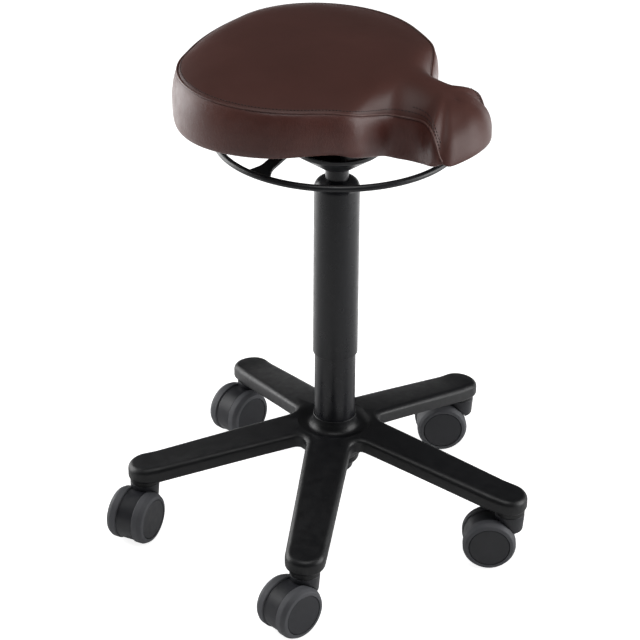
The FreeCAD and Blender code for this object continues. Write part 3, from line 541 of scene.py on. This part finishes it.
def star_base():
    """The five-arm casting, from the frame's own with its arms lifted towards the hub."""
    base = add_object("star_base", NODES["five_star_base"].data.copy())
    tidy_mesh(base, FRAME_MERGE)
    mesh = base.data
    points = np.empty(len(mesh.vertices) * 3)
    mesh.vertices.foreach_get("co", points)
    points = points.reshape(-1, 3)
    radius = np.hypot(points[:, 0], points[:, 1])
    under = ARM_TIP_UNDER + (ARM_REACH - radius) * math.tan(UNDER_SLOPE)
    top = ARM_TIP_TOP + (ARM_REACH - radius) * math.tan(TOP_SLOPE)
    share = np.clip((points[:, 2] - under) / (top - under), 0, 1)
    low = arm_lift(radius, BOSS_RADIUS, ROOT_LIFT_UNDER)
    high = arm_lift(radius, COLLAR_RADIUS, ROOT_LIFT_TOP)
    points[:, 2] += low + (high - low) * share
    mesh.vertices.foreach_set("co", points.ravel())
    kept_normals = mesh.attributes.get("custom_normal")
    if kept_normals:
        mesh.attributes.remove(kept_normals)
    mesh.update()
    smooth_shading(base)
    return base


# The saddle cushion: insets and lifts in millimetres, shares of the way from seam or hem to hem or spine
CROWN_INSETS = [0.0, 0.9, 1.9, 3.1, 4.6, 6.6, 9.5]
CROWN_SHARES = [0.06, 0.13, 0.21, 0.30, 0.40, 0.50, 0.60, 0.70, 0.79, 0.87, 0.94, 1.0]
BAND_SHARES = [0.015, 0.035, 0.06, 0.1, 0.16, 0.24, 0.33, 0.43, 0.54, 0.65, 0.75, 0.84, 0.91, 0.96, 1.0]
UNDER_RINGS = [(1.6, -1.3), (3.6, -1.9), (6.0, -1.7), (9.0, -0.6), (HEM_ROLL, 0.6)]
CORE_SHARES = [0.12, 0.4, 0.7, 1.0]
CORE_LIFT = 1.0
NOSE_LEAST_BAND = 3.0        # where the band is lower than this, the top panel's leather goes down to the hem


def saddle_cushion():
    """Leather-covered cushion: crowned top, swelling side band and turned-under hem, as one closed form."""
    rings = [crown_ring(CROWN_INSETS[-1], share) for share in reversed(CROWN_SHARES)]
    rings += [crown_ring(inset) for inset in reversed(CROWN_INSETS)]
    seam_row = len(rings) - 1
    rings += [band_ring(share) for share in BAND_SHARES]
    rings += [under_ring(inset, lift) for inset, lift in UNDER_RINGS]
    rings += [closing_ring(share, CORE_LIFT) for share in CORE_SHARES]
    cushion = skin_rings("saddle_cushion", rings)
    cushion.data.materials.append(FINISHES["leather_top"])
    cushion.data.materials.append(FINISHES["leather_side"])
    for index, polygon in enumerate(cushion.data.polygons):
        row, column = divmod(index, len(PLAN))
        on_band = row >= seam_row and BAND[column] >= NOSE_LEAST_BAND
        polygon.material_index = 1 if on_band else 0
    tidy_mesh(cushion, MERGE)
    return cushion


# The cloth under the seat
CLOTH_SHARES = [0.0, 0.06, 0.14, 0.26, 0.42, 0.6, 0.8, 1.0]
CLOTH_LIFT = 0.1


def lining_cloth():
    """Black cloth under the seat, stretched over the board and tacked to the turned leather."""
    cloth = skin_rings("underside_cloth", [closing_ring(share, CLOTH_LIFT) for share in CLOTH_SHARES])
    cloth.data.materials.append(FINISHES["lining"])
    tidy_mesh(cloth, MERGE)
    return cloth


# The seam and its stitches
def tube_mesh(name, path, radius):
    """Round tube along an open path of points, all in metres."""
    curve = bpy.data.curves.new(name, "CURVE")
    curve.dimensions = "3D"
    curve.bevel_depth = radius
    curve.bevel_resolution = 2
    curve.use_fill_caps = True
    spline = curve.splines.new("POLY")
    spline.points.add(len(path) - 1)
    for point, place in zip(spline.points, path):
        point.co = (*place, 1.0)
    maker = add_object(name + "_path", curve)
    depsgraph = bpy.context.evaluated_depsgraph_get()
    mesh = bpy.data.meshes.new_from_object(maker.evaluated_get(depsgraph))
    mesh.name = name
    bpy.data.objects.remove(maker)
    for polygon in mesh.polygons:
        polygon.use_smooth = True
    return add_object(name, mesh)


def open_run(values, start, end):
    """The part of a closed loop's rows from one index to another, going forward."""
    if end < start:
        return np.vstack([values[start:], values[: end + 1]])
    return values[start : end + 1]


def band_span(shortest):
    """First and last outline index of the side band, from one nose corner round the rear to the other."""
    tall = np.where(BAND > shortest)[0]
    gap = np.argmax(np.diff(tall))
    return tall[gap + 1], tall[gap]


def seam_ridge():
    """Folded edge that stands up along the seam."""
    stand = np.column_stack([OUTWARD * SEAM_RIDGE_STAND, np.full(len(PLAN), SEAM_RIDGE_LIFT)])
    path = to_row(crown_ring(0.0) + stand)
    start, end = band_span(SEAM_LEAST_BAND)
    ridge = tube_mesh("seam_ridge", open_run(path, start, end), SEAM_RIDGE_RADIUS * MM)
    # the ridge's finish is painted lighter, a painted highlight along the seam
    ridge.data.materials.append(FINISHES["seam"])
    return ridge


def stitch_tree():
    """Geometry nodes that lay stitches of thread along a path."""
    tree = bpy.data.node_groups.new("top stitches", "GeometryNodeTree")
    tree.interface.new_socket("Path", in_out="INPUT", socket_type="NodeSocketGeometry")
    for label in ("Pitch", "Length", "Thickness"):
        tree.interface.new_socket(label, in_out="INPUT", socket_type="NodeSocketFloat")
    tree.interface.new_socket("Thread", in_out="INPUT", socket_type="NodeSocketMaterial")
    tree.interface.new_socket("Stitches", in_out="OUTPUT", socket_type="NodeSocketGeometry")
    add = tree.nodes.new
    link = tree.links.new
    given = add("NodeGroupInput")
    made = add("NodeGroupOutput")
    curve = add("GeometryNodeMeshToCurve")
    resample = add("GeometryNodeResampleCurve")
    resample.mode = "LENGTH"
    link(given.outputs["Path"], curve.inputs["Mesh"])
    link(curve.outputs["Curve"], resample.inputs["Curve"])
    link(given.outputs["Pitch"], resample.inputs["Length"])
    tangent = add("GeometryNodeInputTangent")
    turn = add("FunctionNodeAlignRotationToVector")
    turn.axis = "X"
    link(tangent.outputs["Tangent"], turn.inputs["Vector"])
    bead = add("GeometryNodeMeshUVSphere")
    bead.inputs["Segments"].default_value = 8
    bead.inputs["Rings"].default_value = 6
    bead.inputs["Radius"].default_value = 1.0
    size = add("ShaderNodeCombineXYZ")
    half = add("ShaderNodeMath")
    half.operation = "MULTIPLY"
    half.inputs[1].default_value = 0.5
    link(given.outputs["Length"], half.inputs[0])
    link(half.outputs["Value"], size.inputs["X"])
    link(given.outputs["Thickness"], size.inputs["Y"])
    link(given.outputs["Thickness"], size.inputs["Z"])
    lay = add("GeometryNodeInstanceOnPoints")
    link(resample.outputs["Curve"], lay.inputs["Points"])
    link(bead.outputs["Mesh"], lay.inputs["Instance"])
    link(turn.outputs["Rotation"], lay.inputs["Rotation"])
    link(size.outputs["Vector"], lay.inputs["Scale"])
    real = add("GeometryNodeRealizeInstances")
    smooth = add("GeometryNodeSetShadeSmooth")
    dressed = add("GeometryNodeSetMaterial")
    link(lay.outputs["Instances"], real.inputs["Geometry"])
    link(real.outputs["Geometry"], smooth.inputs["Geometry"])
    link(smooth.outputs["Geometry"], dressed.inputs["Geometry"])
    link(given.outputs["Thread"], dressed.inputs["Material"])
    link(dressed.outputs["Geometry"], made.inputs["Stitches"])
    return tree


def set_input(modifier, label, value):
    """Sets a geometry nodes input by its label."""
    for item in modifier.node_group.interface.items_tree:
        if item.item_type == "SOCKET" and item.in_out == "INPUT" and item.name == label:
            modifier[item.identifier] = value


def stitches(name, path, tree):
    """A row of top stitches on a path of points in metres."""
    mesh = bpy.data.meshes.new(name)
    mesh.from_pydata(path.tolist(), [(i, i + 1) for i in range(len(path) - 1)], [])
    row = add_object(name, mesh)
    modifier = row.modifiers.new("stitches", "NODES")
    modifier.node_group = tree
    set_input(modifier, "Pitch", STITCH_PITCH * MM)
    set_input(modifier, "Length", STITCH_LENGTH * MM)
    set_input(modifier, "Thickness", STITCH_RADIUS * MM)
    set_input(modifier, "Thread", FINISHES["thread"])
    return finished(row)


def stitch_path(inset):
    """Points in metres, all round, just above the top panel at this inset from the seam."""
    return to_row(crown_ring(inset) + np.array([0, 0, STITCH_LIFT]))


# The pieces made here, each on the body that carries it
base = star_base()
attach(base, "base")
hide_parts("five_star_base")

cushion = saddle_cushion()
subdivide = cushion.modifiers.new("round", "SUBSURF")
subdivide.levels = 1
subdivide.render_levels = 1
finished(cushion)
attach(cushion, "seat_carriage")
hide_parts("leather_top_panel", "leather_side_band", "foam_cushion")

ridge = seam_ridge()
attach(ridge, "seat_carriage")

cloth = lining_cloth()
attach(cloth, "seat_carriage")
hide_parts("underside_lining")

tree = stitch_tree()
stitched = BAND > STITCH_LEAST_BAND
rows = {"top_stitches": open_run(stitch_path(STITCH_INSET), *band_span(STITCH_LEAST_BAND))}
beside_flap = stitch_path(2 * STITCH_INSET)
for label, side in (("left", 1), ("right", -1)):
    rows["flap_stitches_" + label] = beside_flap[(PLAN[:, 0] * side > 0) & (FORWARD > FLAP_FROM) & stitched]
for label, path in rows.items():
    row = stitches(label, path, tree)
    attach(row, "seat_carriage")


# Camera, as the photograph was taken: it looks level along +Y before it is turned round the column
CAMERA_TURN = math.radians(-64.11)
CAMERA_ABOVE = math.radians(28.54)
CAMERA_PAN = math.radians(0.40)
CAMERA_ROLL = math.radians(0.61)
CAMERA_DISTANCE = 2.6972
AIM_HEIGHT = 0.27495
FOCAL_PIXELS = 2225.5
PHOTO_WIDTH = 640
SENSOR_WIDTH = 36.0


def photo_camera():
    """Long lens in front of the nose's right, looking down at the stool."""
    data = bpy.data.cameras.new("camera")
    camera = add_object("camera", data)
    back = Vector((0, -math.cos(CAMERA_ABOVE), math.sin(CAMERA_ABOVE)))
    right = Vector((1, 0, 0))
    up = back.cross(right)
    panned = -back * math.cos(CAMERA_PAN) - right * math.sin(CAMERA_PAN)
    sideways = right * math.cos(CAMERA_PAN) - back * math.sin(CAMERA_PAN)
    level = sideways * math.cos(CAMERA_ROLL) + up * math.sin(CAMERA_ROLL)
    upright = up * math.cos(CAMERA_ROLL) - sideways * math.sin(CAMERA_ROLL)
    axes = Matrix((level, upright, -panned)).transposed().to_4x4()
    place = Matrix.Translation(Vector((0, 0, AIM_HEIGHT)) + back * CAMERA_DISTANCE)
    camera.matrix_world = Matrix.Rotation(CAMERA_TURN, 4, "Z") @ place @ axes
    data.sensor_width = SENSOR_WIDTH
    data.lens = SENSOR_WIDTH * FOCAL_PIXELS / PHOTO_WIDTH
    data.clip_end = 50.0
    bpy.context.scene.camera = camera


# Studio: lamps as (name, azimuth, distance from the column, height, width and height of the lamp, watts)
LAMPS = [
    ("left", 114, 1.9, 0.8, (1.7, 1.5), 32),
    ("right", -86, 1.9, 0.75, (1.2, 1.4), 26),
    ("top", 0, 0.7, 2.4, (1.4, 1.4), 15),
]
LAMPS_AIM = Vector((0, 0, 0.35))
FLOOR_REACH = 6.0
FLOOR_GREY = 0.9
FLOOR_ROUGHNESS = 0.9
FLOOR_WHITE = 0.86           # the floor's own light, as the camera sees it
FLOOR_SHEEN = 1.2            # and as surfaces mirror it, behind the stool
SHEEN_START = 0.1
SHEEN_FULL = 0.9
WORLD_FILL = 0.08


def around(azimuth, distance, height):
    """A place seen from the column at an azimuth measured from the camera's side, clockwise from above."""
    angle = CAMERA_TURN - math.radians(90 + azimuth)
    return Vector((distance * math.cos(angle), distance * math.sin(angle), height))


def area_light(name, place, size, power):
    """Soft rectangular lamp that faces the stool."""
    data = bpy.data.lights.new(name, "AREA")
    data.shape = "RECTANGLE"
    data.size, data.size_y = size
    data.energy = power
    lamp = add_object(name, data)
    lamp.location = place
    lamp.rotation_mode = "QUATERNION"
    lamp.rotation_quaternion = (LAMPS_AIM - place).to_track_quat("-Z", "Y")


def floor_paint():
    """Pale, and lit of itself for the camera and for what mirrors the floor behind the stool."""
    paint = Finish("pale floor")
    paint.set(Base_Color=(FLOOR_GREY, FLOOR_GREY, FLOOR_GREY, 1), Roughness=FLOOR_ROUGHNESS)
    ray = paint.node("ShaderNodeLightPath").outputs
    behind = paint.node("ShaderNodeVectorMath", {0: paint.place}, operation="DOT_PRODUCT")
    behind.inputs[1].default_value = around(180, 1.0, 0.0)
    sheen = paint.grey(behind.outputs["Value"], 0.0, FLOOR_SHEEN, SHEEN_START, SHEEN_FULL)
    mirrored = paint.node("ShaderNodeMath", {0: ray["Is Glossy Ray"], 1: sheen}, operation="MULTIPLY")
    strength = paint.node("ShaderNodeMath", {0: ray["Is Camera Ray"], 2: mirrored.outputs["Value"]},
                          operation="MULTIPLY_ADD")
    strength.inputs[1].default_value = FLOOR_WHITE
    glow = paint.node("ShaderNodeEmission", {"Strength": strength.outputs["Value"]})
    both = paint.node("ShaderNodeAddShader", {0: paint.shader.outputs["BSDF"], 1: glow.outputs["Emission"]})
    paint.tree.links.new(both.outputs["Shader"], paint.tree.nodes["Material Output"].inputs["Surface"])
    return paint.material


def studio_floor():
    """Level square under the stool."""
    mesh = bpy.data.meshes.new("floor")
    corners = [(-FLOOR_REACH, -FLOOR_REACH), (FLOOR_REACH, -FLOOR_REACH),
               (FLOOR_REACH, FLOOR_REACH), (-FLOOR_REACH, FLOOR_REACH)]
    mesh.from_pydata([(x, y, 0) for x, y in corners], [], [(0, 1, 2, 3)])
    mesh.materials.append(floor_paint())
    return add_object("floor", mesh)


def studio_world():
    """Pale surroundings for the camera, a faint fill for everything else."""
    world = bpy.data.worlds.new("studio")
    bpy.context.scene.world = world
    world.use_nodes = True
    tree = world.node_tree
    fill = tree.nodes["Background"]
    fill.inputs["Color"].default_value = (1, 1, 1, 1)
    fill.inputs["Strength"].default_value = WORLD_FILL
    ray = tree.nodes.new("ShaderNodeLightPath")
    backdrop = tree.nodes.new("ShaderNodeBackground")
    choose = tree.nodes.new("ShaderNodeMixShader")
    tree.links.new(ray.outputs["Is Camera Ray"], choose.inputs["Fac"])
    tree.links.new(fill.outputs["Background"], choose.inputs[1])
    tree.links.new(backdrop.outputs["Background"], choose.inputs[2])
    tree.links.new(choose.outputs["Shader"], tree.nodes["World Output"].inputs["Surface"])


photo_camera()
floor = studio_floor()
studio_world()
for name, azimuth, distance, height, size, power in LAMPS:
    area_light(name, around(azimuth, distance, height), size, power)
bpy.context.scene.view_settings.view_transform = "Standard"
